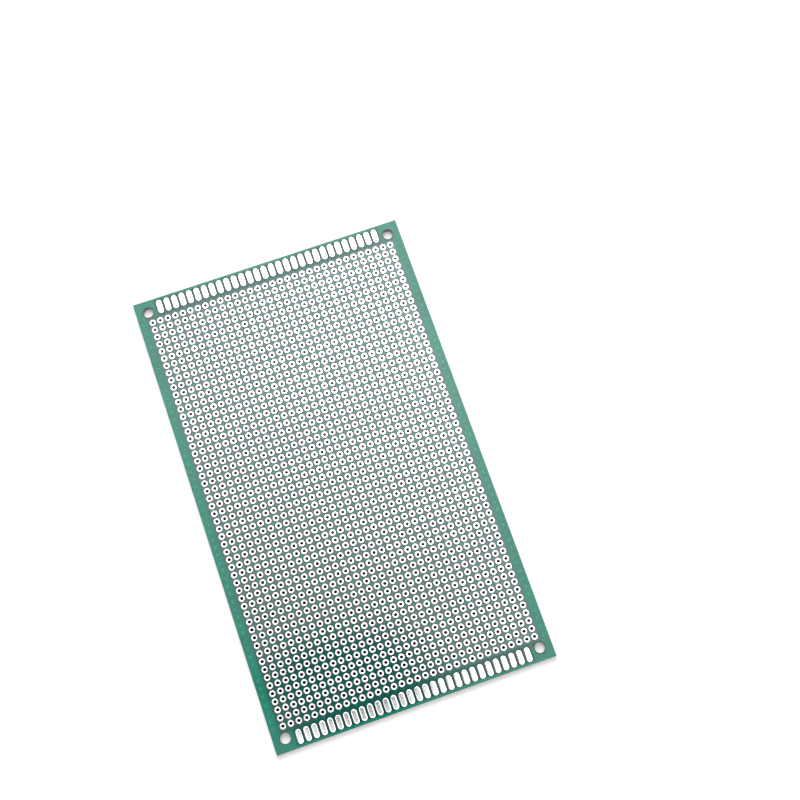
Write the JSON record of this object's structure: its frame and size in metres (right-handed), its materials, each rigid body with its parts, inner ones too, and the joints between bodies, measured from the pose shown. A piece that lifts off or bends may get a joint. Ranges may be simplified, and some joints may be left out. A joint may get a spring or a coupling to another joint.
{
  "type": "prototype board",
  "caption": "Flat drilled circuit board with a grid of plated, tinned holes, rows of oblong solder pads at its short ends and a screw hole at each corner, for building circuits by hand.",
  "frame": {"origin": "middle of the footprint, on the plane that the back pads rest on", "axes": "+X across the board, +Y along it towards the far end, +Z out of the front face"},
  "size_m": [0.09, 0.15, 0.0016],
  "materials": {
    "glass_epoxy": "raw glass-epoxy, pale and slightly translucent where the board was cut",
    "solder_mask": "glossy green lacquer",
    "tin": "bright levelled tin over copper"
  },
  "bodies": {
    "root": {"laminate": "glass_epoxy", "solder_mask_front": "solder_mask", "solder_mask_back": "solder_mask", "edge_pads_front_far": "tin", "edge_pads_front_near": "tin", "edge_pads_back_far": "tin", "edge_pads_back_near": "tin", "mounting_hole_liners": "tin", "plated_holes_column_01": "tin", "plated_holes_column_02": "tin", "plated_holes_column_03": "tin", "plated_holes_column_04": "tin", "plated_holes_column_05": "tin", "plated_holes_column_06": "tin", "plated_holes_column_07": "tin", "plated_holes_column_08": "tin", "plated_holes_column_09": "tin", "plated_holes_column_10": "tin", "plated_holes_column_11": "tin", "plated_holes_column_12": "tin", "plated_holes_column_13": "tin", "plated_holes_column_14": "tin", "plated_holes_column_15": "tin", "plated_holes_column_16": "tin", "plated_holes_column_17": "tin", "plated_holes_column_18": "tin", "plated_holes_column_19": "tin", "plated_holes_column_20": "tin", "plated_holes_column_21": "tin", "plated_holes_column_22": "tin", "plated_holes_column_23": "tin", "plated_holes_column_24": "tin", "plated_holes_column_25": "tin", "plated_holes_column_26": "tin", "plated_holes_column_27": "tin", "plated_holes_column_28": "tin", "plated_holes_column_29": "tin", "plated_holes_column_30": "tin", "plated_holes_column_31": "tin", "plated_holes_column_32": "tin", "plated_holes_column_33": "tin"}
  },
  "joints": []
}
